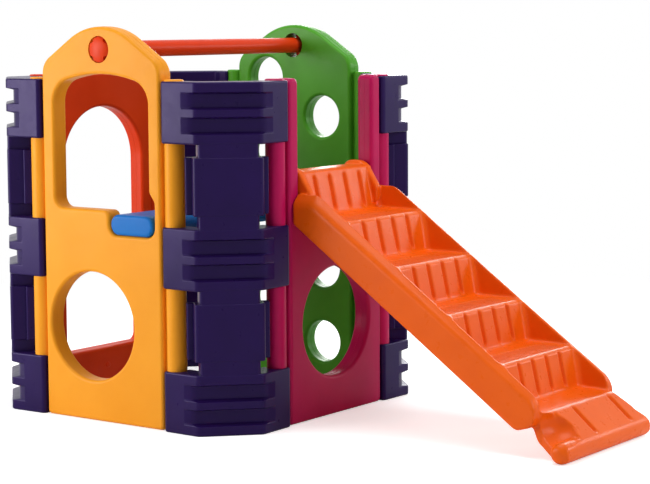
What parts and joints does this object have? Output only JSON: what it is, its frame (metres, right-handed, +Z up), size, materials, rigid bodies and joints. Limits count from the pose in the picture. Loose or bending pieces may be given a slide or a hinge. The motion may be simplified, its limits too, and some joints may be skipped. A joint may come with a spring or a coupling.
{
  "type": "climbing playset",
  "caption": "Eight-sided hollow-moulded climbing tower with crawl holes, a window, a crossbar, a seat plank and a stepped ramp hooked over its sill.",
  "frame": {"origin": "on the floor under the middle of the whole object's box", "axes": "+Z up; the window panel faces -Y and the stepped ramp runs out along +X"},
  "size_m": [2.0032, 1.0486, 1.212],
  "materials": {
    "yellow_polyethylene": "satin moulded polyethylene",
    "magenta_polyethylene": "satin moulded polyethylene",
    "green_polyethylene": "satin moulded polyethylene",
    "red_polyethylene": "satin moulded polyethylene",
    "indigo_polyethylene": "satin moulded polyethylene",
    "orange_polyethylene": "satin moulded polyethylene",
    "blue_polyethylene": "satin moulded polyethylene"
  },
  "bodies": {
    "tower": {"window_panel": "yellow_polyethylene", "window_panel_vent_plug": "yellow_polyethylene", "stair_panel": "magenta_polyethylene", "stair_panel_vent_plug": "magenta_polyethylene", "climbing_panel": "green_polyethylene", "climbing_panel_vent_plug": "green_polyethylene", "door_panel": "red_polyethylene", "door_panel_vent_plug": "red_polyethylene", "corner_panel_front_right": "indigo_polyethylene", "corner_panel_front_right_vent_plug": "indigo_polyethylene", "corner_panel_back_right": "indigo_polyethylene", "corner_panel_back_right_vent_plug": "indigo_polyethylene", "corner_panel_back_left": "indigo_polyethylene", "corner_panel_back_left_vent_plug": "indigo_polyethylene", "corner_panel_front_left": "indigo_polyethylene", "corner_panel_front_left_vent_plug": "indigo_polyethylene"},
    "plank": {"seat_plank": "blue_polyethylene", "seat_plank_vent_plug": "blue_polyethylene"},
    "bar": {"crossbar": "red_polyethylene", "crossbar_cap_front": "red_polyethylene", "crossbar_cap_back": "red_polyethylene"},
    "ramp": {"stepped_ramp": "orange_polyethylene", "stepped_ramp_vent_plug": "orange_polyethylene"}
  },
  "joints": [
    {"name": "ramp_lift", "type": "slide", "parent": "tower", "child": "ramp", "axis": [0, 0, 1], "range_m": [0, 0.1]},
    {"name": "plank_pull", "type": "slide", "parent": "tower", "child": "plank", "axis": [0, -1, 0], "range_m": [0, 0.3]},
    {"name": "bar_turn", "type": "hinge", "parent": "tower", "child": "bar", "pos_m": [-0.47737, 0, 1.142], "axis": [0, 1, 0], "range_deg": [0, 45]}
  ]
}
